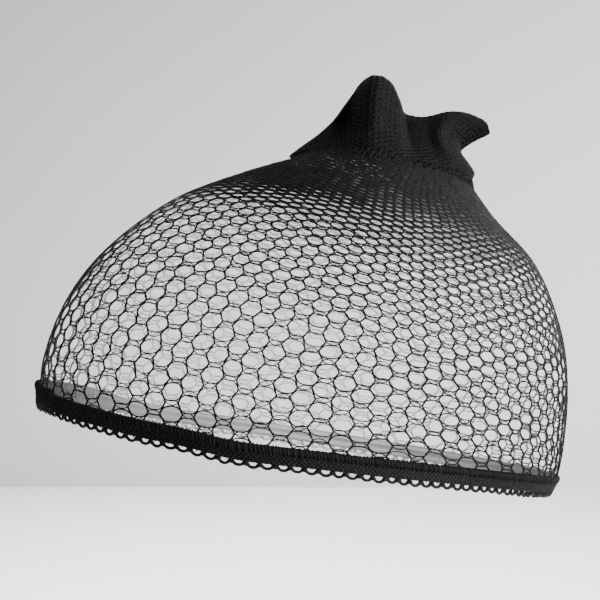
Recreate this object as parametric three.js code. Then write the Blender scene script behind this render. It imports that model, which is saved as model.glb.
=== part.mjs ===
import * as THREE from 'three';

// A stretch mesh wig cap: a knitted net tube that an elastic band closes at
// the rim and that is drawn together at the crown into a standing tuft.
// It keeps the form that it has on a head.
// Millimetres. +Z is up on a level head, -Y is the wearer's face, and the
// origin is the middle of the rim opening.

// ---------------------------------------------------------------- dimensions

const RIM_TILT = THREE.MathUtils.degToRad(12.3); // the nape lies lower than the brow
const SQUARENESS = 2.15; // exponent of the superellipse: 2 is a plain ellipse

// Sections parallel to the rim, from the rim to the neck of the tuft.
const DOME_SECTIONS = [
  { height: 0, halfWidth: 77.9, halfDepth: 94.1, setBack: 0.5 },
  { height: 17, halfWidth: 77.3, halfDepth: 97.0, setBack: 0.4 },
  { height: 40, halfWidth: 74.2, halfDepth: 94.0, setBack: 2.2 },
  { height: 59, halfWidth: 67.2, halfDepth: 85.8, setBack: 5.2 },
  { height: 79, halfWidth: 53.8, halfDepth: 69.7, setBack: 9.8 },
  { height: 92, halfWidth: 37.7, halfDepth: 50.1, setBack: 13.4 },
  { height: 104, halfWidth: 25.5, halfDepth: 30.1, setBack: 20.2 },
];
const NECK = 104;

// The rim isn't quite flat: it rides up over the brow and dips by the temple.
const RIM_LIFTS = [
  { angle: -180, lift: 0 },
  { angle: -120, lift: -0.5 },
  { angle: -60, lift: 0.8 },
  { angle: -20, lift: 2 },
  { angle: 5, lift: 1.7 },
  { angle: 17, lift: 0.8 },
  { angle: 29, lift: 0.35 },
  { angle: 40, lift: -1 },
  { angle: 55, lift: -0.3 },
  { angle: 90, lift: 0.5 },
  { angle: 120, lift: 0 },
  { angle: 180, lift: 0 },
];
const LIFT_FADES_AT = 45; // the height where the net is level again

const WALL = 1.2; // thickness of the net wall and of the tuft
const CLEARANCE = 0.3; // gap between neighbouring pieces

// The net: wide gaps in staggered columns. The courses of the knit crowd
// together towards the crown, and the gaps follow them.
const COLUMNS = 24;
const GAP_ROWS = 5;
const KNIT_COURSES = [
  { course: 0, height: 0 },
  { course: 6, height: 34.3 },
  { course: 9, height: 49.2 },
  { course: 12, height: 60.1 },
  { course: 15, height: 69.5 },
  { course: 18, height: 76.6 },
  { course: 21, height: 82.0 },
  { course: 24, height: 86.3 },
  { course: 38, height: 104.0 },
];
const FIRST_COURSE = 1.35; // where the gaps begin, just above the hem
const COURSES_PER_GAP = 4;
const CELL_CORNER = 0.583; // half width of a cell at its side corners, in columns
const GAP_HALF_WIDTH = 0.41; // in columns
const GAP_HALF_HEIGHT = 0.4; // in gap rows
const NET_EDGE = 4.4; // the net ends behind the hem seam
const CROWN_RINGS = [90, 95, 100, NECK]; // solid crown above the gaps

// An octagonal gap and its cell, both run anticlockwise from the right corner.
const GAP_OUTLINE = [
  { across: 1, up: 0 },
  { across: 0.64, up: 0.8 },
  { across: 0, up: 1 },
  { across: -0.64, up: 0.8 },
  { across: -1, up: 0 },
  { across: -0.64, up: -0.8 },
  { across: 0, up: -1 },
  { across: 0.64, up: -0.8 },
];
const CELL_OUTLINE = [
  { across: CELL_CORNER, up: 0 },
  { across: 1 - CELL_CORNER, up: 0.5 },
  { across: 0, up: 0.5 },
  { across: CELL_CORNER - 1, up: 0.5 },
  { across: -CELL_CORNER, up: 0 },
  { across: CELL_CORNER - 1, up: -0.5 },
  { across: 0, up: -0.5 },
  { across: 1 - CELL_CORNER, up: -0.5 },
];

// The rim, as sections outside the dome: how far out and how high.
const TAPE_SECTION = [
  { out: 0.9, up: 1.25 },
  { out: 1.7, up: 1.05 },
  { out: 2.1, up: 1.5 },
  { out: 2.1, up: 3.5 },
  { out: 1.7, up: 3.9 },
  { out: 0.9, up: 3.9 },
];
const SEAM_SECTION = [
  { out: 0.9, up: 4.2 },
  { out: 2.2, up: 4.2 },
  { out: 2.9, up: 4.8 },
  { out: 2.9, up: 6.1 },
  { out: 2.2, up: 6.7 },
  { out: 0.9, up: 6.7 },
];

// The picot edge: one thread that hangs in small loops below the tape.
const PICOT_LOOPS = 130;
const PICOT_THREAD = 0.35; // radius
const PICOT_OUT = 1.5; // from the dome to the middle of the thread
const PICOT_LOOP = [
  { along: 0, up: 0.35 },
  { along: 0.3, up: -0.4 },
  { along: 0.7, up: -0.4 },
];

// The tuft: the closed end of the tube, flattened into a pouch that stands
// across the crown. Its top edge runs from a foot over a high lobe, down a
// notch, along a saddle and out to a drooping ear.
const TUFT_TURN = THREE.MathUtils.degToRad(47.6); // which way its front looks, from -Y towards +X
const TUFT_STATIONS = 44; // round the neck, an even number
const TOP_EDGE = [
  { along: 0, across: -22.8, rise: 12.6, lean: 0 },
  { along: 0.1, across: -19.0, rise: 15.6, lean: -1 },
  { along: 0.2, across: -14.8, rise: 21.4, lean: -2 },
  { along: 0.29, across: -12.4, rise: 28.0, lean: -2 },
  { along: 0.37, across: -8.8, rise: 32.2, lean: -1 },
  { along: 0.44, across: -4.3, rise: 33.8, lean: 0 },
  { along: 0.5, across: 0.0, rise: 31.6, lean: 0 },
  { along: 0.56, across: 3.0, rise: 24.8, lean: 1 },
  { along: 0.61, across: 5.0, rise: 20.4, lean: 1 },
  { along: 0.69, across: 12.4, rise: 18.9, lean: 2 },
  { along: 0.79, across: 21.5, rise: 20.4, lean: 3 },
  { along: 0.87, across: 28.2, rise: 19.5, lean: 3 },
  { along: 0.94, across: 33.4, rise: 16.4, lean: 2 },
  { along: 1, across: 35.6, rise: 13.2, lean: 1 },
];
// From the neck to the top edge: how much of the way up, how much of the way
// out to the top edge, how much of the neck's depth is left, how far the pouch
// is drawn in under the ear, and how far its foot spreads over the crown.
const TUFT_LEVELS = [
  { climb: 0, spread: 0, depth: 1, waist: 0, flare: 0 },
  { climb: 0.15, spread: 0.02, depth: 0.8, waist: 0, flare: 0.35 },
  { climb: 0.3, spread: 0.06, depth: 0.6, waist: 0.3, flare: 0.9 },
  { climb: 0.47, spread: 0.14, depth: 0.46, waist: 0.8, flare: 0.6 },
  { climb: 0.65, spread: 0.28, depth: 0.38, waist: 1, flare: 0.3 },
  { climb: 0.81, spread: 0.55, depth: 0.3, waist: 0.6, flare: 0.1 },
  { climb: 0.93, spread: 0.85, depth: 0.2, waist: 0.2, flare: 0 },
  { climb: 1, spread: 1, depth: 0, waist: 0, flare: 0 },
];
const WAIST_DEPTH = 5; // at the ear's end
const FLARE_REACH = 7; // at the foot's end
// Folds of the pouch's two faces, outwards from the flat face.
const TUFT_FOLDS = [
  { along: 0, front: 0, back: 0 },
  { along: 0.13, front: 1.5, back: 1 },
  { along: 0.26, front: -4.5, back: -1 },
  { along: 0.42, front: 2.5, back: 3 },
  { along: 0.55, front: 1, back: -3 },
  { along: 0.66, front: -2.5, back: 1.5 },
  { along: 0.8, front: 2, back: -1.5 },
  { along: 1, front: 0, back: 0 },
];

// ------------------------------------------------------------------- shapes

// A smooth curve through one column of a table, looked up by another column.
function lookUp(rows, key, at, column) {
  const last = rows.length - 1;
  let i = 0;
  while (i < last - 1 && at > rows[i + 1][key]) i += 1;
  const slope = (k) => {
    const before = rows[Math.max(k - 1, 0)];
    const after = rows[Math.min(k + 1, last)];
    return (after[column] - before[column]) / (after[key] - before[key]);
  };
  const span = rows[i + 1][key] - rows[i][key];
  const t = (at - rows[i][key]) / span;
  const start = rows[i][column];
  const change = rows[i + 1][column] - start;
  const bendIn = slope(i) * span - change;
  const bendOut = change - slope(i + 1) * span;
  return start + t * change + t * (1 - t) * ((1 - t) * bendIn + t * bendOut);
}

// From the rim's own frame to the level head's.
function leanBack(x, y, z) {
  const cos = Math.cos(RIM_TILT);
  const sin = Math.sin(RIM_TILT);
  return new THREE.Vector3(x, y * cos + z * sin, z * cos - y * sin);
}

function rimLift(angle) {
  const degrees = THREE.MathUtils.radToDeg(angle);
  const wrapped = THREE.MathUtils.euclideanModulo(degrees + 180, 360) - 180;
  return lookUp(RIM_LIFTS, 'angle', wrapped, 'lift');
}

// A point of the dome. Angle 0 is the brow, and a quarter turn is the +X side.
function domePoint(angle, height) {
  const cos = Math.cos(angle);
  const sin = Math.sin(angle);
  const power = Math.abs(cos) ** SQUARENESS + Math.abs(sin) ** SQUARENESS;
  const reach = power ** (-1 / SQUARENESS);
  const section = (column) => lookUp(DOME_SECTIONS, 'height', height, column);
  const x = section('halfWidth') * sin * reach;
  const y = section('setBack') - section('halfDepth') * cos * reach;
  return leanBack(x, y, height + rimLift(angle) * Math.max(0, 1 - height / LIFT_FADES_AT));
}

function domeNormal(angle, height) {
  const step = 1e-3;
  const round = domePoint(angle + step, height).sub(domePoint(angle - step, height));
  const upwards = domePoint(angle, height + step).sub(domePoint(angle, height - step));
  return round.cross(upwards).normalize();
}

function offDome(angle, height, out) {
  return domePoint(angle, height).addScaledVector(domeNormal(angle, height), out);
}

// Angles at equal distances along the rim: share 0 to 1 goes once round.
const RIM_STEPS = 720;
const rimLengths = [0];
for (let i = 0; i < RIM_STEPS; i += 1) {
  const turn = (2 * Math.PI) / RIM_STEPS;
  const from = domePoint(i * turn, 0);
  rimLengths.push(rimLengths[i] + from.distanceTo(domePoint((i + 1) * turn, 0)));
}

function rimAngle(share) {
  const turns = Math.floor(share);
  const target = (share - turns) * rimLengths[RIM_STEPS];
  let i = 0;
  while (rimLengths[i + 1] < target) i += 1;
  const part = (target - rimLengths[i]) / (rimLengths[i + 1] - rimLengths[i]);
  return 2 * Math.PI * (turns + (i + part) / RIM_STEPS);
}

// A mesh from corner positions and faces, three corners to a face.
function meshOf(corners, faces) {
  const geometry = new THREE.BufferGeometry();
  const numbers = corners.flatMap((corner) => [corner.x, corner.y, corner.z]);
  geometry.setAttribute('position', new THREE.Float32BufferAttribute(numbers, 3));
  geometry.setIndex(faces.flat());
  geometry.computeVertexNormals();
  return geometry;
}

function quad(a, b, c, d) {
  return [
    [a, b, c],
    [a, c, d],
  ];
}

// A closed wall from two matching skins: each open edge gets a side.
function wallBetween(outer, inner, faces) {
  const count = outer.length;
  const all = [];
  const open = new Map();
  for (const [a, b, c] of faces) {
    all.push([a, b, c], [a + count, c + count, b + count]);
    for (const [from, to] of [[a, b], [b, c], [c, a]]) {
      if (!open.delete(`${to}/${from}`)) open.set(`${from}/${to}`, [from, to]);
    }
  }
  for (const [from, to] of open.values()) {
    all.push(...quad(from, from + count, to + count, to));
  }
  return meshOf([...outer, ...inner], all);
}

// A ring whose section is a table of rows, carried round by its stations.
function ringOf(stations, place) {
  const corners = stations.flatMap((station) => place(station));
  const size = place(stations[0]).length;
  const faces = [];
  for (let i = 0; i < stations.length; i += 1) {
    const here = i * size;
    const next = ((i + 1) % stations.length) * size;
    for (let k = 0; k < size; k += 1) {
      const m = (k + 1) % size;
      faces.push(...quad(here + k, next + k, next + m, here + m));
    }
  }
  return meshOf(corners, faces);
}

// ---------------------------------------------------------------- net crown

function courseHeight(gapRow) {
  return lookUp(KNIT_COURSES, 'course', FIRST_COURSE + gapRow * COURSES_PER_GAP, 'height');
}

function columnAngle(column) {
  return rimAngle(column / COLUMNS);
}

// Column places of the corners round a level edge of the net.
function edgeStations(halfWidth) {
  const stations = [];
  for (let column = 0; column < COLUMNS; column += 2) {
    stations.push(column - halfWidth, column, column + halfWidth, column + 1);
  }
  return stations;
}
const BOTTOM_STATIONS = edgeStations(1 - CELL_CORNER);
const TOP_STATIONS = edgeStations(CELL_CORNER);

function netCrown() {
  const places = [];
  const faces = [];
  const known = new Map();

  // One corner, shared by all the faces that meet in it.
  const corner = (column, height) => {
    const round = (column + COLUMNS) % COLUMNS;
    const key = `${round.toFixed(4)}/${height.toFixed(4)}`;
    if (!known.has(key)) {
      known.set(key, places.length);
      places.push({ angle: columnAngle(round), height });
    }
    return known.get(key);
  };
  const patch = (...points) => {
    faces.push(...quad(...points.map(([column, height]) => corner(column, height))));
  };

  const cellWithGap = (column, middle) => {
    const rim = CELL_OUTLINE.map(({ across, up }) => [column + across, courseHeight(middle + up)]);
    const hole = GAP_OUTLINE.map(({ across, up }) => [
      column + across * GAP_HALF_WIDTH,
      courseHeight(middle + up * GAP_HALF_HEIGHT),
    ]);
    for (let k = 0; k < rim.length; k += 1) {
      const m = (k + 1) % rim.length;
      patch(rim[k], rim[m], hole[m], hole[k]);
    }
  };

  // A solid half cell: narrow at one gap row and wide at the other.
  const halfCell = (column, low, high, lowHalf, highHalf) => {
    const bottom = courseHeight(low);
    const top = courseHeight(high);
    for (const [left, right] of [[-1, 0], [0, 1]]) {
      patch(
        [column + left * lowHalf, bottom],
        [column + right * lowHalf, bottom],
        [column + right * highHalf, top],
        [column + left * highHalf, top],
      );
    }
  };

  const collar = (stations, low, high) => {
    stations.forEach((station, i) => {
      const next = stations[(i + 1) % stations.length];
      patch([station, low], [next, low], [next, high], [station, high]);
    });
  };

  for (let column = 0; column < COLUMNS; column += 1) {
    const stagger = (column % 2) / 2;
    for (let row = 0; row < GAP_ROWS; row += 1) {
      cellWithGap(column, row + 0.5 + stagger);
    }
    if (stagger > 0) {
      halfCell(column, 0, stagger, CELL_CORNER, 1 - CELL_CORNER);
    } else {
      halfCell(column, GAP_ROWS, GAP_ROWS + 0.5, 1 - CELL_CORNER, CELL_CORNER);
    }
  }
  collar(BOTTOM_STATIONS, NET_EDGE, courseHeight(0));
  let below = courseHeight(GAP_ROWS + 0.5);
  for (const ring of CROWN_RINGS) {
    collar(TOP_STATIONS, below, ring);
    below = ring;
  }

  const skin = (out) => places.map(({ angle, height }) => offDome(angle, height, out));
  return wallBetween(skin(WALL / 2), skin(-WALL / 2), faces);
}

// ---------------------------------------------------------------- rim pieces

function rimBand(section) {
  return ringOf(BOTTOM_STATIONS, (station) =>
    section.map(({ out, up }) => offDome(columnAngle(station), up, out)),
  );
}

function picotEdge() {
  const stations = [];
  for (let loop = 0; loop < PICOT_LOOPS; loop += 1) {
    for (const { along, up } of PICOT_LOOP) {
      stations.push({ share: (loop + along) / PICOT_LOOPS, up });
    }
  }
  const middle = stations.map(({ share, up }) => offDome(rimAngle(share), up, PICOT_OUT));
  const count = stations.length;
  return ringOf([...stations.keys()], (i) => {
    const outwards = domeNormal(rimAngle(stations[i].share), 0);
    const ahead = middle[(i + 1) % count].clone().sub(middle[(i + count - 1) % count]);
    const upwards = outwards.clone().cross(ahead).normalize();
    return [0, 1, 2].map((side) => {
      const turn = (side * 2 * Math.PI) / 3;
      return middle[i]
        .clone()
        .addScaledVector(outwards, PICOT_THREAD * Math.cos(turn))
        .addScaledVector(upwards, PICOT_THREAD * Math.sin(turn));
    });
  });
}

// ------------------------------------------------------------- gathered top

const UP = new THREE.Vector3(0, 0, 1);
const TUFT_FRONT = new THREE.Vector3(Math.sin(TUFT_TURN), -Math.cos(TUFT_TURN), 0);
const TUFT_ACROSS = new THREE.Vector3(Math.cos(TUFT_TURN), Math.sin(TUFT_TURN), 0);
const NECK_MIDDLE = domePoint(0, NECK).add(domePoint(Math.PI, NECK)).multiplyScalar(0.5);

function neckAngle(share) {
  return TUFT_TURN + Math.PI / 2 - 2 * Math.PI * share;
}

// A point of the pouch. Share 0 to 1 goes once round the neck from the ear's
// end over the front face, and level 0 to 1 goes from the neck to the top edge.
function tuftPoint(share, level) {
  const turn = 2 * Math.PI * share;
  const onFront = share <= 0.5;
  const along = onFront ? 1 - 2 * share : 2 * share - 1;
  const edge = (column) => lookUp(TOP_EDGE, 'along', along, column);
  const rows = TUFT_LEVELS.map((row, i) => ({ ...row, level: i / (TUFT_LEVELS.length - 1) }));
  const at = (column) => lookUp(rows, 'level', level, column);

  const base = domePoint(neckAngle(share), NECK + CLEARANCE).sub(NECK_MIDDLE);
  const fold = lookUp(TUFT_FOLDS, 'along', along, onFront ? 'front' : 'back');
  const facing = onFront ? 1 : -1;
  const spread = at('spread');
  const waist = WAIST_DEPTH * at('waist') * THREE.MathUtils.smoothstep(along, 0.5, 1);
  const flare = FLARE_REACH * at('flare') * THREE.MathUtils.smoothstep(1 - along, 0.75, 1);
  const straight = base.dot(TUFT_ACROSS) * (1 - spread) + edge('across') * spread;
  const across = straight - waist - flare;
  const rise = base.z + (edge('rise') - base.z) * at('climb');
  const swell = Math.sin(Math.PI * Math.min(level, 1)) * Math.abs(Math.sin(turn)) ** 0.5;
  const depth = base.dot(TUFT_FRONT) * at('depth') + facing * fold * swell;
  return NECK_MIDDLE.clone()
    .addScaledVector(TUFT_ACROSS, across)
    .addScaledVector(TUFT_FRONT, depth + edge('lean') * spread)
    .addScaledVector(UP, rise);
}

// At the neck the pouch's wall lies square to the dome's, so that the two butt.
function tuftNormal(share, level) {
  if (level === 0) return domeNormal(neckAngle(share), NECK);
  const step = 1e-3;
  const round = tuftPoint(share + step, level).sub(tuftPoint(share - step, level));
  const upwards = tuftPoint(share, level + step).sub(tuftPoint(share, level - step));
  return upwards.cross(round).normalize();
}

function gatheredTop() {
  const rings = TUFT_LEVELS.length - 1;
  const half = TUFT_STATIONS / 2;
  const faces = [];
  const skin = (out) => {
    const corners = [];
    for (let ring = 0; ring < rings; ring += 1) {
      for (let i = 0; i < TUFT_STATIONS; i += 1) {
        const share = i / TUFT_STATIONS;
        const level = ring / rings;
        corners.push(tuftPoint(share, level).addScaledVector(tuftNormal(share, level), out));
      }
    }
    for (let i = 0; i <= half; i += 1) {
      corners.push(tuftPoint(i / TUFT_STATIONS, 1).addScaledVector(UP, out));
    }
    return corners;
  };
  const cornerOf = (ring, i) => {
    const station = i % TUFT_STATIONS;
    if (ring < rings) return ring * TUFT_STATIONS + station;
    return rings * TUFT_STATIONS + Math.min(station, TUFT_STATIONS - station);
  };
  for (let ring = 0; ring < rings; ring += 1) {
    for (let i = 0; i < TUFT_STATIONS; i += 1) {
      const below = [cornerOf(ring, i + 1), cornerOf(ring, i)];
      const above = [cornerOf(ring + 1, i), cornerOf(ring + 1, i + 1)];
      faces.push(...quad(...below, ...above));
    }
  }
  return wallBetween(skin(WALL / 2), skin(-WALL / 2), faces);
}

// ----------------------------------------------------------------- assembly

function fabric(color, roughness) {
  return new THREE.MeshStandardMaterial({ color, roughness, metalness: 0 });
}

function piece(name, geometry, material) {
  const mesh = new THREE.Mesh(geometry, material);
  mesh.name = name;
  return mesh;
}

const wigCap = new THREE.Group();
wigCap.add(
  piece('net_crown', netCrown(), fabric(0x1c201e, 0.75)),
  piece('gathered_top', gatheredTop(), fabric(0x1a1e1d, 0.8)),
  piece('hem_seam', rimBand(SEAM_SECTION), fabric(0x222625, 0.7)),
  piece('elastic_tape', rimBand(TAPE_SECTION), fabric(0x2a2e2d, 0.65)),
  piece('picot_edge', picotEdge(), fabric(0x1e2221, 0.7)),
);

export default wigCap;
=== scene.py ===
"""A wig cap of stretch net, its top gathered into a tuft, on an elastic band with a picot edge."""

import math

import bpy
import numpy as np
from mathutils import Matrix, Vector


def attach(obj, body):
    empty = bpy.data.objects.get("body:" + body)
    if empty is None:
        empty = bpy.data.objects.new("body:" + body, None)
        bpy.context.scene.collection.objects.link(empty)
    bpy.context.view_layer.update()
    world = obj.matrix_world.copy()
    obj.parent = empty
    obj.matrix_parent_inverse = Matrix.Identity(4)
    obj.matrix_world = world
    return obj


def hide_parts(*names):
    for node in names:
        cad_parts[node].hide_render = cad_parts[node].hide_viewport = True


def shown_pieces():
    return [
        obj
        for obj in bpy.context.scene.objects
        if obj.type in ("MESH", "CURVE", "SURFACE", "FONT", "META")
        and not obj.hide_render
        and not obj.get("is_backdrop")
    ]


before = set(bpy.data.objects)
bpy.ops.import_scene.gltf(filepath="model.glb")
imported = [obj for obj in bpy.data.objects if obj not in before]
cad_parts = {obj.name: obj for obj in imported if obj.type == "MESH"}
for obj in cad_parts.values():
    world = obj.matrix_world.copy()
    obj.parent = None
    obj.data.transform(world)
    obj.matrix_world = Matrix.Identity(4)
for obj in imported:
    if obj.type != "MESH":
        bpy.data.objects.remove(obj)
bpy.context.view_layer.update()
bpy.ops.object.select_all(action="DESELECT")

MM = 0.001
FULL_TURN = 2 * math.pi
SAME_POINT = 1e-6  # metres: points nearer than this are one point

# ---------------------------------------------------------------- sizes of the dome, mm

RIM_TILT = math.radians(12.3)
SQUARENESS = 2.15
NECK = 104
# height, half width, half depth, set back
DOME_SECTIONS = [
    (0, 77.9, 94.1, 0.5),
    (17, 77.3, 97.0, 0.4),
    (40, 74.2, 94.0, 2.2),
    (59, 67.2, 85.8, 5.2),
    (79, 53.8, 69.7, 9.8),
    (92, 37.7, 50.1, 13.4),
    (104, 25.5, 30.1, 20.2),
]
# degrees round from the brow, how far the rim is lifted there
RIM_LIFTS = [
    (-180, 0),
    (-120, -0.5),
    (-60, 0.8),
    (-20, 2),
    (5, 1.7),
    (17, 0.8),
    (29, 0.35),
    (40, -1),
    (55, -0.3),
    (90, 0.5),
    (120, 0),
    (180, 0),
]
LIFT_FADES_AT = 45
ANGLE_STEP, HEIGHT_STEP = 1e-3, 0.05  # short steps over the dome, for its slopes
RIM_SAMPLES = 1441

# ---------------------------------------------------------------- sizes of the net

WALES, COURSES = 88, 38
COURSES_BELOW = 3  # more courses than show, for where the net has drifted down
GRID_ROWS = 2 * (COURSES + COURSES_BELOW + 2)
WALE_0_ANGLE = math.radians(59)  # where wale 0, a wale of holes, meets the rim
# course of the knitting, height
KNIT_COURSES = [
    (0, 0),
    (6, 34.3),
    (9, 49.2),
    (12, 60.1),
    (15, 69.5),
    (18, 76.6),
    (21, 82.0),
    (24, 86.3),
    (38, 104),
]
# wale; how many wales the stretched net has drifted round there at courses 1, 8.5 and 16;
# how many courses it has drifted up at the same three
NET_DRIFTS = [
    (-30, -0.2, -0.1, -0.3, -0.6, 0.23, 1.3),
    (-26, -0.54, -0.18, -0.74, -0.77, 0.42, 1.94),
    (-23, -0.51, -0.03, -0.95, -0.87, 0.46, 2.41),
    (-20, 0.25, 0.57, -0.36, -0.94, 0.49, 3.16),
    (-17, 0.85, 1.04, 0.4, -0.94, 0.52, 3.47),
    (-14, 1.14, 1.32, 1, -0.84, 0.54, 3.37),
    (-11, 1.11, 1.3, 1.24, -0.65, 0.51, 2.92),
    (-8, 0.78, 0.95, 1.06, -0.45, 0.44, 2.23),
    (-5, 0.36, 0.44, 0.61, -0.24, 0.3, 1.37),
    (-2, 0.12, -0.03, 0.1, -0.06, 0.12, 0.46),
    (1, 0.1, -0.38, -0.47, 0.08, -0.12, -0.36),
    (4, 0.25, -0.7, -1.1, 0.19, -0.37, -0.98),
    (7, 0.52, -0.87, -1.61, 0.25, -0.62, -1.27),
    (10, 0.66, -0.96, -1.99, 0.27, -0.8, -1.17),
    (14, 0.71, -0.85, -1.83, 0.17, -0.73, -0.86),
    (22, 0.46, -0.45, -0.96, 0.12, -0.38, -0.38),
    (32, 0.1, -0.1, -0.2, 0, 0, 0),
    (44, 0, 0, 0, 0, 0, 0),
    (58, -0.2, -0.1, -0.3, -0.6, 0.23, 1.3),
]
DRIFT_COURSES = (1, 8.5, 16)
FIRST_HOLE = 1.63
LOWEST_COURSE, LAST_OPEN_COURSE, LAST_LINK_COURSE = 0.9, 37.6, 21
CROWDED_FROM, CROWDED_BY = 15, 29
STEM_SWING = 0.138  # wales that a stem swings to either side

NET_MIDDLE = 0.6  # how far the threads run outside the dome's inner face, mm
RING_OUT, LINK_OUT = 0.08, -0.05  # how far the finer threads lie off those, mm
STEM_RADIUS, RING_RADIUS, LINK_RADIUS = 0.3, 0.2, 0.17
# the shape of an open hole, in shares of a wale's width and a course's height, and how much
# of it is lost where the threads crowd together
HOLE_FULLNESS = 3.7
HOLE_HALF_HEIGHT, HEIGHT_LOST = 0.375, 0.08
HOLE_WIDTH, WIDTH_LOST = 0.985, 0.06
STEM_THICKENS, RING_THICKENS = 0.5, 1.3  # share added to the threads where they crowd
THINNEST_RING = 0.8
LINK_HALF_HEIGHT, LINK_FULLNESS, LINK_STEPS = 0.125, 2, 10
LOW_RING_STEPS, HIGH_RING_STEPS = 18, 10

# ---------------------------------------------------------------- sizes of the band, mm

FAR_BROW, NEAR_NAPE = math.radians(-46), math.radians(135)
# how the elastic has settled at the far brow: raised, drawn in, and its hem stood up taller
BAND_LIFT, BROW_PULL, BROW_SPREAD = 1.6, 0.9, (0.62, 1)
HEM_RISE, HEM_RISE_SPREAD, HEM_RISE_HEIGHTS = 2.4, (0.82, 0.99), (2.0, 4.4)
# and at the near side of the nape: drawn in, its foot most
NAPE_PULL, FOOT_TUCK, NAPE_SPREAD, FOOT_HEIGHTS = 0.9, 1.2, (0.75, 1), (-0.5, 6.0)
NET_HOLLOW, HOLLOW_SPREAD = 1.0, (0.7, 1)  # how far the net lies in above the far brow

BAND_STEPS = 260
# sections of the rolled hem and of the elastic, and one stitch's way over the hem: out, up
HEM_SECTION = [
    (0.3, 4.3),
    (1.2, 4.1),
    (2.0, 4.3),
    (2.35, 4.9),
    (2.35, 5.6),
    (2.0, 6.15),
    (1.2, 6.4),
    (0.3, 6.2),
]
ELASTIC_SECTION = [(0.9, 1.2), (1.6, 1.05), (2.0, 1.4), (2.0, 3.6), (1.6, 4.2), (0.9, 4.2)]
STITCH_PATH = [(1.0, 6.5), (1.95, 6.3), (2.43, 5.6), (2.43, 4.8), (2.25, 4.1), (2.0, 3.9)]
HEM_STITCHES, STITCH_RADIUS = 520, 0.22
STITCH_LEAN = 0.0016  # how far a stitch leans, in shares of the rim
KNIT_ROWS, KNIT_TEETH, KNIT_RADIUS = 4, 380, 0.24
# height of the lowest row of knit, rise from row to row, swing of its teeth, and how far out
KNIT_FOOT, KNIT_PITCH, KNIT_SWING, KNIT_OUT = 1.5, 0.72, 0.4, 2.1
KNIT_SHIFT = 0.7  # how far every other row is shifted, in half teeth
PICOT_LOOPS, PICOT_RADIUS, PICOT_TOP, PICOT_OUT = 130, 0.5, 1.0, 1.55
# one picot, as shares of the pitch along the rim, mm up it, and how much thicker the cord is there
PICOT_PATH = [
    (-0.5, 0.55, 1.7),
    (-0.41, 0.5, 1.5),
    (-0.34, 0.25, 1.15),
    (-0.26, -0.1, 1),
    (-0.14, -0.36, 1),
    (0, -0.42, 1),
    (0.14, -0.36, 1),
    (0.26, -0.1, 1),
    (0.34, 0.25, 1.15),
    (0.41, 0.5, 1.5),
]
PICOT_JOINT = 0.45  # past this share of the pitch a loop meets its neighbour

# ---------------------------------------------------------------- sizes of the tuft, mm

TUFT_TURN = math.radians(47.6)
TUFT_START = 0.3  # how far above the net's neck the tuft's cloth starts
TUFT_OVERLAP, OVERLAP_LEVEL = 3.5, 0.1  # how far it runs on down inside the net
WAIST_DEPTH, WAIST_SPREAD = 5, (0.5, 1)
FLARE_REACH, LEFT_SPREAD = 6.5, (0.75, 1)
RIGHT_FLARE_REACH, RIGHT_SPREAD = 2.6, (0.6, 1)
FLARE_DROOP = 1.4  # how far the left flare hangs down on to the net
# along, across, rise, lean
TOP_EDGE = [
    (0, -22.8, 12.6, 0),
    (0.1, -18.8, 15.2, -1),
    (0.2, -14.6, 20.8, -2),
    (0.29, -12, 27.3, -2),
    (0.37, -8.5, 31.9, -1),
    (0.44, -4.3, 33.8, 0),
    (0.5, 0.8, 31.4, 0),
    (0.56, 3.9, 25.2, 1),
    (0.61, 5.6, 20.5, 1),
    (0.69, 12.4, 18.9, 2),
    (0.79, 21.5, 20.8, 3),
    (0.87, 28.4, 20.2, 3),
    (0.94, 34.8, 17.3, 2),
    (1, 36.4, 13.4, 1),
]
# climb, spread, depth, waist, flare, at even levels from the neck to the top edge
TUFT_LEVELS = [
    (0, 0, 1, 0, 0),
    (0.15, 0.02, 0.84, 0, 1.05),
    (0.3, 0.06, 0.6, 0.3, 0.9),
    (0.47, 0.14, 0.46, 0.8, 0.6),
    (0.65, 0.28, 0.38, 1, 0.3),
    (0.81, 0.55, 0.3, 0.6, 0.1),
    (0.93, 0.85, 0.2, 0.2, 0),
    (1, 1, 0, 0, 0),
]
# along, fold of the front, fold of the back
TUFT_FOLDS = [
    (0, 0, 0),
    (0.13, 1.5, 1),
    (0.28, -4.5, -1),
    (0.42, 4.5, 3),
    (0.55, 1, -3),
    (0.66, -2.5, 1.5),
    (0.8, 2, -1.5),
    (1, 0, 0),
]
# along, how deep the crease runs in, half width in share of the tuft's width
FRONT_CREASES = [(0.32, 10, 0.055), (0.6, 2.2, 0.028)]
BACK_CREASES = [(0.2, 2.0, 0.03), (0.45, 2.4, 0.03), (0.72, 2.0, 0.035)]
PLEATS, PLEAT_DEPTH, PLEAT_START, PLEAT_FULLNESS = 9, 0.45, 1.1, 0.7
SHARE_STEP, LEVEL_STEP = 0.004, 0.01  # short steps over the tuft, for its slopes

CLOTH_AROUND, CLOTH_LEVELS, CLOTH_THICKNESS = 200, 44, 0.5
# nodes of a stem on the tuft, the level that it ends at, and its swing in wales
TUFT_STEM_NODES, TUFT_STEM_TOP, TUFT_STEM_SWING = 34, 0.985, 0.13
TUFT_STEM_RADIUS, TUFT_STEM_OUT = 0.24, 0.18
# courses of holes on the tuft, the part of one left over, and where the first hole lies
TUFT_COURSES, TUFT_COURSES_SPARE, TUFT_FIRST_HOLE = 17, 0.4, 0.3
TUFT_RING_STEPS, TUFT_RING_TOP, TUFT_RING_RADIUS, TUFT_RING_OUT = 8, 0.99, 0.33, 0.14
# in shares of a wale and of a course
TUFT_HOLE_HALF_WIDTH, TUFT_HOLE_HALF_HEIGHT = 0.46, 0.36


# ---------------------------------------------------------------- smooth tables and chance


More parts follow.
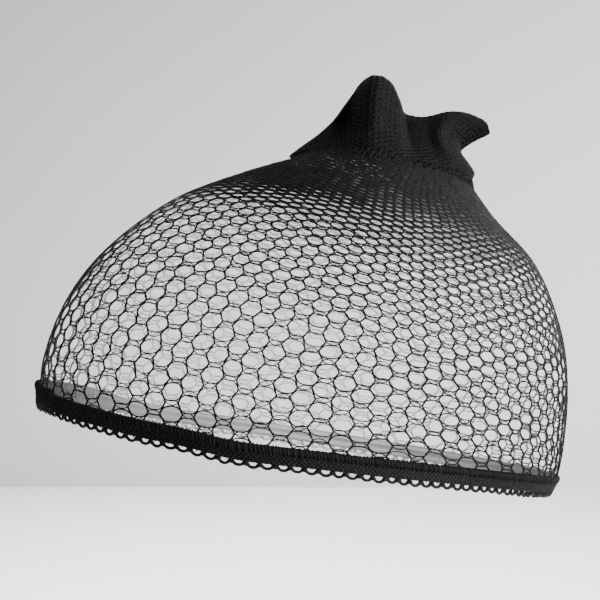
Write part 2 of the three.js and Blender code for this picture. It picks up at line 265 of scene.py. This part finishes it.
def look_up(rows, at):
    """The columns after the first of a table, on a smooth curve through its rows."""
    rows = np.array(rows, float)
    keys, values = rows[:, 0], rows[:, 1:]
    slopes = np.empty_like(values)
    for k in range(len(keys)):
        low, high = max(k - 1, 0), min(k + 1, len(keys) - 1)
        slopes[k] = (values[high] - values[low]) / (keys[high] - keys[low])
    at = np.asarray(at, float)
    i = np.clip(np.searchsorted(keys, at, side="right") - 1, 0, len(keys) - 2)
    span = (keys[i + 1] - keys[i])[..., None]
    t = (at[..., None] - keys[i][..., None]) / span
    change = values[i + 1] - values[i]
    bend_in = slopes[i] * span - change
    bend_out = change - slopes[i + 1] * span
    found = values[i] + t * change + t * (1 - t) * ((1 - t) * bend_in + t * bend_out)
    return [found[..., k] for k in range(values.shape[1])]


def smooth_step(value, start, end):
    """0 before start, 1 after end, and smooth between them."""
    t = np.clip((value - start) / (end - start), 0, 1)
    return t * t * (3 - 2 * t)


def round_once(steps):
    """The angles of even steps once round a ring."""
    return np.arange(steps) * FULL_TURN / steps


def zigzag(count, swing, first=0):
    """swing to one side and the other by turns."""
    return np.where((np.arange(count) + first) % 2, swing, -swing)


def unit(vectors):
    return vectors / np.linalg.norm(vectors, axis=-1, keepdims=True)


CHANCE = np.random.default_rng(11)


def uneven(spread, count=None):
    """Small errors of the knitting and sewing, the same on each run."""
    return CHANCE.normal(0, spread, count)


# ---------------------------------------------------------------- the dome's surface and its rim


def lean_back(x, y, z):
    """Tilts a level point with the rim."""
    cos, sin = math.cos(RIM_TILT), math.sin(RIM_TILT)
    return np.stack([x, y * cos + z * sin, z * cos - y * sin], -1)


def dome_point(angle, height):
    """A point of the dome's inner face: angle from the brow towards +X, height from the rim."""
    angle, height = np.broadcast_arrays(np.asarray(angle, float), np.asarray(height, float))
    half_width, half_depth, set_back = look_up(DOME_SECTIONS, height)
    sin, cos = np.sin(angle), np.cos(angle)
    reach = (abs(cos) ** SQUARENESS + abs(sin) ** SQUARENESS) ** (-1 / SQUARENESS)
    (lift,) = look_up(RIM_LIFTS, (np.degrees(angle) + 180) % 360 - 180)
    lifted = height + lift * np.clip(1 - height / LIFT_FADES_AT, 0, 1)
    return lean_back(half_width * sin * reach, set_back - half_depth * cos * reach, lifted)


def off_dome(angle, height, out):
    """A point so far outside the dome's inner face."""
    height = np.asarray(height)
    round_it = dome_point(angle + ANGLE_STEP, height) - dome_point(angle - ANGLE_STEP, height)
    up_it = dome_point(angle, height + HEIGHT_STEP) - dome_point(angle, height - HEIGHT_STEP)
    outwards = unit(np.cross(round_it, up_it))
    return dome_point(angle, height) + outwards * np.asarray(out)[..., None]


FINE_ANGLES = np.linspace(0, FULL_TURN, RIM_SAMPLES)
RIM_STEPS = np.linalg.norm(np.diff(dome_point(FINE_ANGLES, 0), axis=0), axis=1)
RIM_REACHED = np.concatenate([[0], np.cumsum(RIM_STEPS)])
RIM_SHARES = RIM_REACHED / RIM_REACHED[-1]


def rim_angle(share):
    """The angle at a share of the way round the rim."""
    share = np.asarray(share, float)
    return np.interp(share % 1, RIM_SHARES, FINE_ANGLES) + FULL_TURN * np.floor(share)


# ---------------------------------------------------------------- how threads and cloth are made


def only(piece):
    """Selects this piece alone, and makes it the active one."""
    bpy.ops.object.select_all(action="DESELECT")
    piece.select_set(True)
    bpy.context.view_layer.objects.active = piece


def join_doubles():
    bpy.ops.mesh.remove_doubles(threshold=SAME_POINT)


def turn_outwards():
    bpy.ops.mesh.normals_make_consistent(inside=False)


def edit_all(piece, *steps):
    """Takes edit-mode steps on the whole of a piece."""
    only(piece)
    bpy.ops.object.mode_set(mode="EDIT")
    bpy.ops.mesh.select_all(action="SELECT")
    for step in steps:
        step()
    bpy.ops.object.mode_set(mode="OBJECT")


def put_vertices(piece, points):
    piece.data.vertices.foreach_set("co", (points * MM).astype(np.float32).ravel())
    piece.data.update()


def threads(name, runs, radius, sides=4, closed=False):
    """The threads of one piece, made a mesh.

    runs is a list of (points in mm, swell), where swell scales the radius at each point.
    """
    curve = bpy.data.curves.new(name, "CURVE")
    curve.dimensions = "3D"
    curve.bevel_depth = radius * MM
    curve.bevel_resolution = (sides - 4) // 2
    curve.use_fill_caps = not closed
    curve.twist_mode = "MINIMUM"
    for points, swell in runs:
        count = len(points)
        spline = curve.splines.new("POLY")
        spline.points.add(count - 1)
        placed = np.ones((count, 4))
        placed[:, :3] = points * MM
        spline.points.foreach_set("co", placed.ravel())
        spline.points.foreach_set("radius", np.broadcast_to(swell, (count,)).astype(float))
        spline.use_cyclic_u = closed
    piece = bpy.data.objects.new(name, curve)
    bpy.context.collection.objects.link(piece)
    only(piece)
    bpy.ops.object.convert(target="MESH")
    piece = bpy.context.view_layer.objects.active
    if not closed:
        edit_all(piece, join_doubles, turn_outwards)
    bpy.ops.object.shade_smooth()
    return piece


# ---------------------------------------------------------------- the net: wales round, courses up

NODE_SWAY = uneven(0.035, (WALES, GRID_ROWS))  # in wales
NODE_HOP = uneven(0.045, (WALES, GRID_ROWS))  # in courses
WALE_0 = WALES * float(np.interp(WALE_0_ANGLE, FINE_ANGLES, RIM_SHARES))


def drifted(wale, course):
    """Where a wale and course have come to lie in the stretched net, in even wales and courses."""
    wale, course = np.broadcast_arrays(np.asarray(wale, float), np.asarray(course, float))
    first = NET_DRIFTS[0][0]
    drifts = look_up(NET_DRIFTS, (wale - first) % WALES + first)
    low, middle, high = DRIFT_COURSES
    at = np.clip(course, 0, high)
    shares = (
        (at - middle) * (at - high) / ((low - middle) * (low - high)),
        (at - low) * (at - high) / ((middle - low) * (middle - high)),
        (at - low) * (at - middle) / ((high - low) * (high - middle)),
    )
    fade = 1 - smooth_step(course, high, COURSES)
    round_it = sum(share * drift for share, drift in zip(shares, drifts[:3])) * fade
    up_it = sum(share * drift for share, drift in zip(shares, drifts[3:])) * fade
    return wale + round_it, course + up_it


def net_point(wale, course, out):
    """Where a place in the knitting lies: wale 0 is a wale of holes."""
    wale, course = drifted(wale, course)
    angle = rim_angle((wale + WALE_0) / WALES)
    (height,) = look_up(KNIT_COURSES, np.clip(course, LOWEST_COURSE, COURSES))
    hollow = smooth_step(np.cos(angle - FAR_BROW), *HOLLOW_SPREAD)
    return off_dome(angle, height, out - NET_HOLLOW * hollow)


def shows(wale, course, spare=0.0):
    """Whether a place in the knitting is above the hem."""
    return drifted(wale, course)[1] > LOWEST_COURSE - spare


def crowding(wale, course):
    """0 where the net is stretched open, 1 where its threads crowd together below the neck."""
    return smooth_step(drifted(wale, course)[1], CROWDED_FROM, CROWDED_BY)


def stem_node(stem, row):
    """A meeting point on the stem between wale stem-1 and wale stem, at half course row."""
    towards = STEM_SWING if (row + stem) % 2 else -STEM_SWING
    wale = stem - 0.5 + towards + NODE_SWAY[stem % WALES, row]
    course = FIRST_HOLE - COURSES_BELOW + row / 2 + NODE_HOP[stem % WALES, row]
    return wale, course


def make_net_stems():
    """A zigzag stem of yarn between each wale of holes and the next."""
    runs = []
    for stem in range(WALES):
        nodes = np.array([stem_node(stem, row) for row in range(GRID_ROWS - 1)])
        halfway = (nodes[:-1] + nodes[1:]) / 2
        wales, courses = np.stack([nodes[:-1], halfway], 1).reshape(-1, 2).T
        kept = shows(wales, courses) & (courses < COURSES)
        wales, courses = wales[kept], courses[kept]
        swell = 1 + STEM_THICKENS * crowding(wales, courses)
        runs.append((net_point(wales, courses, NET_MIDDLE), swell))
    return threads("net_stems", runs, STEM_RADIUS, sides=6)


def hole_places(start, end, rise=0.0, spare=0.0):
    """The holes' places in the knitting, or those so far up from them, wale by wale."""
    for wale in range(WALES):
        course = FIRST_HOLE - COURSES_BELOW + 1 - (0.5 if wale % 2 else 0) + rise
        while course < end:
            if course >= start and shows(wale, course, spare):
                yield wale, course
            course += 1


def hole_line(wale, course):
    """The middle of a hole, and how far its right corner lies from there."""
    row = round(2 * (course - FIRST_HOLE + COURSES_BELOW))
    left, right = np.array(stem_node(wale, row)), np.array(stem_node(wale + 1, row))
    if left[0] > right[0]:
        left[0] -= WALES
    return (left + right) / 2, (right - left) / 2


def eye_shape(steps, fullness):
    """An eye with a point at either end: places along it, and how far they bow up or down."""
    spin = round_once(steps)
    along = np.cos(spin)
    return along, np.sign(np.sin(spin)) * (1 - abs(along) ** fullness)


def make_hole_rings(name, start, end, steps):
    """One fine thread round each hole, drawn out to a point at either side."""
    runs = []
    along, bow = eye_shape(steps, HOLE_FULLNESS)
    for wale, course in hole_places(start, end, spare=0.2):
        middle, half = hole_line(wale, course)
        crowd = float(crowding(wale, course))
        half_height = (1 + uneven(0.06)) * (HOLE_HALF_HEIGHT - HEIGHT_LOST * crowd)
        wales = middle[0] + along * half[0] * (HOLE_WIDTH - WIDTH_LOST * crowd)
        courses = middle[1] + along * half[1] + bow * half_height
        swell = (1 + RING_THICKENS * crowd) * max(THINNEST_RING, 1 + uneven(0.1))
        runs.append((net_point(wales, courses, NET_MIDDLE + RING_OUT), swell))
    return threads(name, runs, RING_RADIUS, closed=True)


def make_net_links():
    """A narrow eye of fine thread in each link between one hole and the next above it."""
    runs = []
    along, bow = eye_shape(LINK_STEPS, LINK_FULLNESS)
    for wale, course in hole_places(-COURSES_BELOW, LAST_LINK_COURSE, rise=0.5, spare=0.1):
        middle, half = hole_line(wale, course)
        wales = middle[0] + along * half[0]
        courses = middle[1] + along * half[1] + bow * LINK_HALF_HEIGHT
        runs.append((net_point(wales, courses, NET_MIDDLE + LINK_OUT), 1.0))
    return threads("net_links", runs, LINK_RADIUS, closed=True)


# ---------------------------------------------------------------- the band and its edge


def rim_place(share, out, up):
    """A place on the band, as the elastic has settled round the head."""
    angle = rim_angle(share)
    brow = smooth_step(np.cos(angle - FAR_BROW), *BROW_SPREAD)
    hem = smooth_step(np.cos(angle - FAR_BROW), *HEM_RISE_SPREAD)
    nape = smooth_step(np.cos(angle - NEAR_NAPE), *NAPE_SPREAD)
    foot = 1 - smooth_step(up, *FOOT_HEIGHTS)
    raised = up + BAND_LIFT * brow + HEM_RISE * hem * smooth_step(up, *HEM_RISE_HEIGHTS)
    return off_dome(angle, raised, out - BROW_PULL * brow - (NAPE_PULL + FOOT_TUCK * foot) * nape)


def make_ring(name, section):
    """A closed band: a small ring's vertices are all carried to a section's points on the rim."""
    count = len(section)
    bpy.ops.mesh.primitive_torus_add(
        major_segments=BAND_STEPS, minor_segments=count, major_radius=0.08, minor_radius=0.002
    )
    piece = bpy.context.view_layer.objects.active
    piece.name = piece.data.name = name
    share = np.repeat(np.arange(BAND_STEPS) / BAND_STEPS, count)
    out, up = np.tile(np.array(section).T, BAND_STEPS)
    put_vertices(piece, rim_place(share, out, up))
    edit_all(piece, turn_outwards)
    bpy.ops.object.shade_smooth()
    return piece


def make_hem_stitches():
    """Upright overlocking stitches wrapped over the rolled hem."""
    runs = []
    out, up = np.array(STITCH_PATH).T
    for stitch in range(HEM_STITCHES):
        sway = uneven(0.0003)
        lean = np.linspace(0, STITCH_LEAN + uneven(0.0004), len(STITCH_PATH))
        share = stitch / HEM_STITCHES + lean + sway
        proud = uneven(0.06)
        runs.append((rim_place(share, out + proud, up), 1 + uneven(0.12)))
    return threads("hem_stitches", runs, STITCH_RADIUS)


def make_tape_knit():
    """Rows of small zigzag stitches on the elastic's face."""
    runs = []
    steps = KNIT_TEETH * 2
    for row in range(KNIT_ROWS):
        share = (np.arange(steps) + KNIT_SHIFT * (row % 2) + uneven(0.12, steps)) / steps
        up = KNIT_FOOT + row * KNIT_PITCH + zigzag(steps, KNIT_SWING) + uneven(0.06, steps)
        out = KNIT_OUT + uneven(0.07, steps)
        runs.append((rim_place(share, out, up), 1.0))
    return threads("tape_knit", runs, KNIT_RADIUS, closed=True)


def make_picots():
    """Small round loops of one cord along the foot of the elastic."""
    along, up, swell = np.array(PICOT_PATH).T
    places, rises, outs = [], [], []
    for loop in range(PICOT_LOOPS):
        middle = loop + 0.5 + uneven(0.05)
        width, drop = 1 + uneven(0.05), 1 + uneven(0.06)
        widened = along * np.where(abs(along) > PICOT_JOINT, 1, width)
        places.append((middle + widened) / PICOT_LOOPS)
        rises.append(PICOT_TOP - (PICOT_TOP - up) * drop)
        outs.append(np.full(len(along), PICOT_OUT + uneven(0.08)))
    spots = rim_place(*map(np.concatenate, (places, outs, rises)))
    swells = np.tile(swell, PICOT_LOOPS)
    return threads("picot_loops", [(spots, swells)], PICOT_RADIUS, sides=6, closed=True)


# ---------------------------------------------------------------- the gathered top

ACROSS = np.array([math.cos(TUFT_TURN), math.sin(TUFT_TURN), 0])
FRONT = np.array([math.sin(TUFT_TURN), -math.cos(TUFT_TURN), 0])
UP = np.array([0.0, 0.0, 1.0])
NECK_MIDDLE = (dome_point(0.0, NECK) + dome_point(math.pi, NECK)) / 2
LEVEL_ROWS = [(k / (len(TUFT_LEVELS) - 1), *row) for k, row in enumerate(TUFT_LEVELS)]


def creases(rows, along):
    """How far the creases of one side run in, as a negative depth."""
    return -sum(depth * np.exp(-(((along - middle) / half) ** 2)) for middle, depth, half in rows)


def tuft_point(share, level):
    """A point of the tuft: share runs once round it, level from its neck, 0, to its top edge, 1."""
    share, level = np.broadcast_arrays(np.asarray(share, float), np.asarray(level, float))
    turn = FULL_TURN * share
    on_front = share <= 0.5
    along = np.where(on_front, 1 - 2 * share, 2 * share - 1)
    climb, spread, flattened, waist, flare = look_up(LEVEL_ROWS, level)
    foot = NECK + TUFT_START - TUFT_OVERLAP * (1 - smooth_step(level, 0, OVERLAP_LEVEL))
    base = dome_point(TUFT_TURN + math.pi / 2 - turn, foot) - NECK_MIDDLE
    edge_across, edge_rise, edge_lean = look_up(TOP_EDGE, along)
    left = smooth_step(1 - along, *LEFT_SPREAD)
    right = smooth_step(along, *RIGHT_SPREAD)
    across = (
        (base @ ACROSS) * (1 - spread)
        + edge_across * spread
        - WAIST_DEPTH * waist * smooth_step(along, *WAIST_SPREAD)
        - FLARE_REACH * flare * left
        + RIGHT_FLARE_REACH * flare * right
    )
    rise = base[..., 2] + (edge_rise - base[..., 2]) * climb - FLARE_DROOP * flare * left
    fold_front, fold_back = look_up(TUFT_FOLDS, along)
    front = fold_front + creases(FRONT_CREASES, along)
    back = -fold_back - creases(BACK_CREASES, along)
    pleats = PLEAT_DEPTH * np.sin(FULL_TURN * PLEATS * along + PLEAT_START)
    folds = np.where(on_front, front, back) + pleats * np.sin(math.pi * level) ** PLEAT_FULLNESS
    swell = np.sin(math.pi * level) * np.sqrt(abs(np.sin(turn)))
    depth = (base @ FRONT) * flattened + folds * swell + edge_lean * spread
    return (
        NECK_MIDDLE
        + across[..., None] * ACROSS
        + depth[..., None] * FRONT
        + rise[..., None] * UP
    )


def off_tuft(share, level, out):
    """A point so far outside the tuft's cloth."""
    spot = tuft_point(share, level)
    side = tuft_point((share + SHARE_STEP) % 1, level) - spot
    upward = tuft_point(share, np.clip(level + LEVEL_STEP, 0, 1)) - spot
    upward += 1e-6  # never nothing, even at the top edge
    return spot + unit(np.cross(unit(upward), unit(side))) * out


def make_tuft_cloth():
    """The gathered net as one closed, folded cloth."""
    bpy.ops.mesh.primitive_grid_add(
        x_subdivisions=CLOTH_AROUND, y_subdivisions=CLOTH_LEVELS, size=1
    )
    piece = bpy.context.view_layer.objects.active
    piece.name = piece.data.name = "tuft_cloth"
    flat = np.empty(len(piece.data.vertices) * 3, np.float32)
    piece.data.vertices.foreach_get("co", flat)
    x, y, _ = flat.reshape(-1, 3).astype(float).T
    put_vertices(piece, tuft_point(np.clip(0.5 - x, 0, 1) % 1, np.clip(y + 0.5, 0, 1)))
    edit_all(piece, join_doubles)
    bpy.ops.object.shade_smooth()
    wall = piece.modifiers.new("wall", "SOLIDIFY")
    wall.thickness = CLOTH_THICKNESS * MM
    wall.offset = -1
    bpy.ops.object.modifier_apply(modifier=wall.name)
    return piece


def make_tuft_stems():
    """The net's own stems, crowded together over the tuft's folds."""
    runs = []
    level = np.linspace(0, TUFT_STEM_TOP, TUFT_STEM_NODES)
    for stem in range(WALES):
        swing = zigzag(TUFT_STEM_NODES, TUFT_STEM_SWING, first=stem)
        share = (stem + (swing + uneven(0.05, TUFT_STEM_NODES))) / WALES % 1
        runs.append((off_tuft(share, level, TUFT_STEM_OUT), 1.0))
    return threads("tuft_stems", runs, TUFT_STEM_RADIUS)


def make_tuft_rings():
    """Closed-up holes of the net on the tuft, as knots of thread that catch the light."""
    runs = []
    spin = round_once(TUFT_RING_STEPS)
    courses = TUFT_COURSES + TUFT_COURSES_SPARE
    half = TUFT_HOLE_HALF_HEIGHT / courses
    for wale in range(WALES):
        for row in range(TUFT_COURSES):
            course = row + (0.5 if wale % 2 else 0) + TUFT_FIRST_HOLE
            middle = (course + uneven(0.06)) / courses
            share = wale + 0.5 + np.cos(spin) * TUFT_HOLE_HALF_WIDTH + uneven(0.04)
            level = np.clip(middle + np.sin(spin) * half, 0, TUFT_RING_TOP)
            runs.append((off_tuft(share / WALES % 1, level, TUFT_RING_OUT), 1.0))
    return threads("tuft_rings", runs, TUFT_RING_RADIUS, closed=True)


# ---------------------------------------------------------------- materials


class Value:
    """One shader socket that takes part in arithmetic."""

    def __init__(self, work, socket):
        self.work, self.socket = work, socket

    def _with(self, operation, first, second):
        return self.work.node("ShaderNodeMath", {"operation": operation}, {0: first, 1: second})

    def __add__(self, other):
        return self._with("ADD", self, other)

    def __radd__(self, other):
        return self._with("ADD", other, self)

    def __mul__(self, other):
        return self._with("MULTIPLY", self, other)

    def __rmul__(self, other):
        return self._with("MULTIPLY", other, self)


class Finish:
    """A material under way: node() adds any node and returns one of its outputs."""

    def __init__(self, name):
        self.material = bpy.data.materials.new(name)
        self.material.use_nodes = True
        self.tree = self.material.node_tree
        self.shader = self.tree.nodes["Principled BSDF"]

    def node(self, kind, settings=None, inputs=None, output=0):
        made = self.tree.nodes.new(kind)
        for key, value in (settings or {}).items():
            if key == "stops":
                for stop, (place, colour) in zip(made.color_ramp.elements, value):
                    stop.position, stop.color = place, colour
            else:
                setattr(made, key, value)
        for key, value in (inputs or {}).items():
            self.feed(made.inputs[key], value)
        return Value(self, made.outputs[output])

    def feed(self, socket, value):
        if isinstance(value, Value):
            self.tree.links.new(value.socket, socket)
        else:
            socket.default_value = value

    def object_noise(self, scale, detail):
        """Noise on the piece's own coordinates."""
        place = self.node("ShaderNodeTexCoord", output="Object")
        inputs = {"Vector": place, "Scale": scale, "Detail": detail}
        return self.node("ShaderNodeTexNoise", {}, inputs)

    def surface(self, **inputs):
        for key, value in inputs.items():
            self.feed(self.shader.inputs[key.replace("_", " ")], value)
        return self.material


def linear(shade):
    """A shade given as it looks on screen, 0 to 255, in the shader's linear numbers."""
    return ((shade / 255 + 0.055) / 1.055) ** 2.4 if shade > 10 else shade / 255 / 12.92


def tint(red, green, blue):
    return (linear(red), linear(green), linear(blue), 1)


CLOUD_SCALE, CLOUD_SHARE, FIBRE_SHARE = 35.0, 0.35, 0.65
FIBRE_RELIEF, FIBRE_ROUGHENS = 0.0003, 0.12
PAPER_CLOUD_SCALE, PAPER_CONTRAST = 3.0, 1.03
# darkest and lightest tint, scale of the fibres, roughness, strength of the relief
NYLONS = {
    "net_yarn": ((8, 10, 9), (27, 30, 29), 2600.0, 0.55, 0.25),
    "fine_net_yarn": ((11, 13, 12), (32, 35, 34), 2600.0, 0.55, 0.2),
    "gathered_yarn": ((13, 16, 14), (46, 50, 48), 1800.0, 0.62, 0.35),
    # the tuft's cloth is darker than the yarn on it: painted shade, for the shadow between the
    # crowded stems and rings
    "fold_cloth_painted_shade": ((5, 7, 6), (22, 24, 23), 1800.0, 0.7, 0.35),
    # the hem's stitches and its rolled core are one nylon: the stitches are made lighter, as
    # painted light on them, and the core darker, as painted shade between them
    "hem_yarn_painted_light": ((15, 17, 16), (56, 59, 57), 1500.0, 0.6, 0.4),
    "hem_core_painted_shade": ((9, 11, 10), (30, 32, 31), 1500.0, 0.7, 0.4),
    # the elastic's knit and its strip are one nylon: the knit is made lighter, as painted light on
    # the raised stitches and for light thrown up onto the band, and the strip darker, as painted
    # shade between them
    "tape_yarn_painted_light": ((19, 21, 20), (70, 74, 71), 1300.0, 0.6, 0.45),
    "tape_core_painted_shade": ((7, 9, 8), (27, 29, 28), 1300.0, 0.7, 0.45),
    "picot_cord": ((10, 12, 11), (32, 35, 33), 1800.0, 0.5, 0.3),
}


def nylon(name, dark, light, grain, rough, relief):
    """Matt stretch nylon: fine fibre noise in colour, roughness and relief."""
    work = Finish(name)
    cloudy = work.object_noise(CLOUD_SCALE, 2.0)
    fibre = work.object_noise(grain, 3.0)
    stops = [(0.3, tint(*dark)), (0.72, tint(*light))]
    mixed = cloudy * CLOUD_SHARE + fibre * FIBRE_SHARE
    bump = {"Height": fibre, "Strength": relief, "Distance": FIBRE_RELIEF}
    return work.surface(
        Base_Color=work.node("ShaderNodeValToRGB", {"stops": stops}, {"Fac": mixed}),
        Roughness=rough + fibre * FIBRE_ROUGHENS,
        Normal=work.node("ShaderNodeBump", {}, bump),
        Specular_IOR_Level=0.3,
        Sheen_Weight=0.04,
        Sheen_Roughness=0.4,
    )


def paper(name, colour, rough):
    """Plain card for the room, very faintly clouded."""
    work = Finish(name)
    cloudy = work.object_noise(PAPER_CLOUD_SCALE, 2.0)
    lighter = tuple(min(1, c * PAPER_CONTRAST) for c in colour[:3]) + (1,)
    stops = [(0.3, colour), (0.7, lighter)]
    shade = work.node("ShaderNodeValToRGB", {"stops": stops}, {"Fac": cloudy})
    return work.surface(Base_Color=shade, Roughness=rough)


def clothe(piece, material):
    piece.data.materials.clear()
    piece.data.materials.append(material)


# ---------------------------------------------------------------- making and dressing the pieces

YARNS = {name: nylon(name, *look) for name, look in NYLONS.items()}
# the piece, its finish, the node that it stands for and that node's slot
PIECES = [
    (make_net_stems(), "net_yarn", "net_crown", "net"),
    (
        make_hole_rings("net_hole_rings_low", -COURSES_BELOW, CROWDED_FROM, LOW_RING_STEPS),
        "fine_net_yarn",
        "net_crown",
        "net",
    ),
    (
        make_hole_rings("net_hole_rings_high", CROWDED_FROM, LAST_OPEN_COURSE, HIGH_RING_STEPS),
        "fine_net_yarn",
        "net_crown",
        "net",
    ),
    (make_net_links(), "fine_net_yarn", "net_crown", "net"),
    (make_ring("hem_roll", HEM_SECTION), "hem_core_painted_shade", "hem_seam", "hem"),
    (make_ring("elastic_strip", ELASTIC_SECTION), "tape_core_painted_shade", "elastic_tape", "tape"),
    (make_hem_stitches(), "hem_yarn_painted_light", "hem_seam", "hem"),
    (make_tape_knit(), "tape_yarn_painted_light", "elastic_tape", "tape"),
    (make_picots(), "picot_cord", "picot_edge", "picot"),
    (make_tuft_cloth(), "fold_cloth_painted_shade", "gathered_top", "dense_knit"),
    (make_tuft_stems(), "gathered_yarn", "gathered_top", "dense_knit"),
    (make_tuft_rings(), "gathered_yarn", "gathered_top", "dense_knit"),
]
for piece, yarn, node, slot in PIECES:
    clothe(piece, YARNS[yarn])
    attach(piece, "root")
    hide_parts(node)

# ---------------------------------------------------------------- floor, wall, lights and camera

VIEW_TURN, VIEW_RISE, VIEW_DISTANCE = math.radians(47.6), math.radians(5.8), 0.5414
VIEW_BACK = Vector(
    (
        math.sin(VIEW_TURN) * math.cos(VIEW_RISE),
        -math.cos(VIEW_TURN) * math.cos(VIEW_RISE),
        math.sin(VIEW_RISE),
    )
)
VIEW_RIGHT = Vector((math.cos(VIEW_TURN), math.sin(VIEW_TURN), 0))
VIEW_LEVEL = Vector((math.sin(VIEW_TURN), -math.cos(VIEW_TURN), 0))


def from_view(right, near, up):
    """A place given as the viewer sees it: to the right, nearer, and up."""
    return VIEW_RIGHT * right + VIEW_LEVEL * near + Vector((0, 0, up))


AIM = from_view(-0.0004, 0, 0.0536)
SENSOR, LENS = 36, 94.68
FLOOR_HEIGHT, WALL_BEHIND, ROOM_SIZE = -0.268, 1.15, 12
CAP_MIDDLE = (0, 0, 0.05)
# watts, side, place, and the spot that it faces: both in metres right, near and up
LAMPS = {
    "window_light": (6.5, 0.8, (1.0, 0.1, 0.55), CAP_MIDDLE),
    "room_light": (3.6, 1.2, (0.2, 1.4, 0.5), CAP_MIDDLE),
    "low_light": (5.5, 0.5, (0.8, 0.45, -0.06), CAP_MIDDLE),
    "wall_light": (29, 0.6, (1.0, -0.39, -0.1), (0.3, -WALL_BEHIND, -0.2)),
    "skirting_light": (2.4, 0.9, (-0.1, -0.75, -0.3), (-0.1, -WALL_BEHIND, -0.3)),
    "floor_light": (14.5, 0.9, (0, -0.62, -0.05), (0, -0.7, FLOOR_HEIGHT)),
    # inside the cap, for the inner face of its far side
    "inside_light": (3.3, 0.07, (0, 0.05, 0.03), (0, -0.3, 0.05)),
}
INSIDE_SPREAD = math.radians(110)
SKY_COLOUR, SKY_STRENGTH = (0.95, 0.97, 1.0, 1), 0.18


def room_plane(name, material, location, rotation=(0, 0, 0)):
    bpy.ops.mesh.primitive_plane_add(size=ROOM_SIZE, location=location, rotation=rotation)
    plane = bpy.context.view_layer.objects.active
    plane.name = name
    clothe(plane, material)
    plane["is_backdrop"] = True
    return plane


def soft_light(name, watts, size, place, aim):
    place, aim = from_view(*place), from_view(*aim)
    bpy.ops.object.light_add(type="AREA", location=place)
    lamp = bpy.context.view_layer.objects.active
    lamp.name = name
    lamp.data.energy, lamp.data.size = watts, size
    lamp.visible_camera = False
    lamp.rotation_euler = (aim - place).to_track_quat("-Z", "Y").to_euler()
    return lamp


def light_only(lamp, parts):
    """Keeps a lamp's light to some of the parts."""
    group = bpy.data.collections.new("lit_by_" + lamp.name)
    for part in parts:
        group.objects.link(part)
    lamp.light_linking.receiver_collection = group


FLOOR = room_plane("floor", paper("floor_paper", tint(222, 222, 219), 0.8), (0, 0, FLOOR_HEIGHT))
BACK_WALL = room_plane(
    "back_wall",
    paper("wall_paper", tint(206, 206, 203), 0.85),
    from_view(0, -WALL_BEHIND, FLOOR_HEIGHT),
    (math.pi / 2, 0, VIEW_TURN),
)

lamps = {name: soft_light(name, *row) for name, row in LAMPS.items()}
lamps["inside_light"].data.spread = INSIDE_SPREAD
light_only(lamps["wall_light"], [BACK_WALL])
light_only(lamps["skirting_light"], [BACK_WALL])
light_only(lamps["floor_light"], [FLOOR])
for name in ("inside_light", "room_light", "low_light"):
    light_only(lamps[name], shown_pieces())

world = bpy.data.worlds.new("soft_room")
world.use_nodes = True
sky = world.node_tree.nodes["Background"]
sky.inputs["Color"].default_value = SKY_COLOUR
sky.inputs["Strength"].default_value = SKY_STRENGTH
bpy.context.scene.world = world

camera_data = bpy.data.cameras.new("view")
camera_data.sensor_width, camera_data.lens = SENSOR, LENS
camera = bpy.data.objects.new("view", camera_data)
bpy.context.collection.objects.link(camera)
camera.location = AIM + VIEW_BACK * VIEW_DISTANCE
camera.rotation_euler = (math.pi / 2 - VIEW_RISE, 0, VIEW_TURN)
bpy.context.scene.camera = camera
